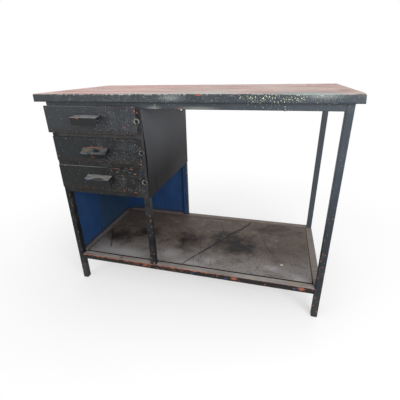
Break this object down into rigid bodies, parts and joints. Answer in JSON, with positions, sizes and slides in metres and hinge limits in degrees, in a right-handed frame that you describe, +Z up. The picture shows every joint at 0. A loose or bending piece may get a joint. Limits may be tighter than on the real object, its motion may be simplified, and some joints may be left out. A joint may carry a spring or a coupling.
{
  "type": "workshop desk",
  "caption": "Steel workshop desk on square-tube legs with a skinned worktop, a low steel shelf and a left pedestal of sheet-metal drawers that slide out.",
  "frame": {"origin": "on the floor, under the middle of the desk's box", "axes": "+X to the right along the desk's width, +Y from the drawer fronts to the back, +Z up"},
  "size_m": [1.2, 0.6104, 0.9],
  "materials": {
    "worn_top": "worn red primer on steel",
    "charcoal_paint": "worn satin",
    "blue_paint": "satin",
    "worn_deck": "stained bare steel",
    "bare_steel": "worn bright",
    "galvanised_steel": "dull zinc",
    "board": "raw board"
  },
  "bodies": {
    "frame": {"back_panel": "blue_paint", "front_post": "charcoal_paint", "left_side_panel": "blue_paint", "leg_front_left": "charcoal_paint", "leg_front_right": "charcoal_paint", "leg_rear_left": "charcoal_paint", "leg_rear_right": "charcoal_paint", "lower_divider_rail": "charcoal_paint", "lower_runner_left": "galvanised_steel", "lower_runner_right": "galvanised_steel", "middle_runner_left": "galvanised_steel", "middle_runner_right": "galvanised_steel", "pedestal_bottom_rail": "charcoal_paint", "rear_post": "charcoal_paint", "right_side_panel": "charcoal_paint", "shelf_bearer_left": "charcoal_paint", "shelf_bearer_middle": "charcoal_paint", "shelf_bearer_right": "charcoal_paint", "shelf_deck": "worn_deck", "shelf_rail_front": "charcoal_paint", "shelf_rail_left": "charcoal_paint", "shelf_rail_rear": "charcoal_paint", "shelf_rail_right": "charcoal_paint", "top_bearer_middle": "charcoal_paint", "top_bearer_pedestal": "charcoal_paint", "top_rail_front": "charcoal_paint", "top_rail_left": "charcoal_paint", "top_rail_rear": "charcoal_paint", "top_rail_right": "charcoal_paint", "upper_divider_rail": "charcoal_paint", "upper_runner_left": "galvanised_steel", "upper_runner_right": "galvanised_steel", "worktop_board": "board", "worktop_screws": "bare_steel", "worktop_skin": "worn_top"},
    "upper_drawer": {"upper_drawer_tray": "charcoal_paint", "upper_drawer_front": "charcoal_paint", "upper_drawer_pull": "charcoal_paint", "upper_drawer_ring": "bare_steel"},
    "middle_drawer": {"middle_drawer_tray": "charcoal_paint", "middle_drawer_front": "charcoal_paint", "middle_drawer_pull": "charcoal_paint", "middle_drawer_ring": "bare_steel"},
    "lower_drawer": {"lower_drawer_tray": "charcoal_paint", "lower_drawer_front": "charcoal_paint", "lower_drawer_pull": "charcoal_paint", "lower_drawer_ring": "bare_steel"}
  },
  "joints": [
    {"name": "upper_drawer_slide", "type": "slide", "parent": "frame", "child": "upper_drawer", "axis": [0, -1, 0], "range_m": [-0.016, 0.38]},
    {"name": "middle_drawer_slide", "type": "slide", "parent": "frame", "child": "middle_drawer", "axis": [0, -1, 0], "range_m": [0, 0.38]},
    {"name": "lower_drawer_slide", "type": "slide", "parent": "frame", "child": "lower_drawer", "axis": [0, -1, 0], "range_m": [0, 0.38]}
  ]
}
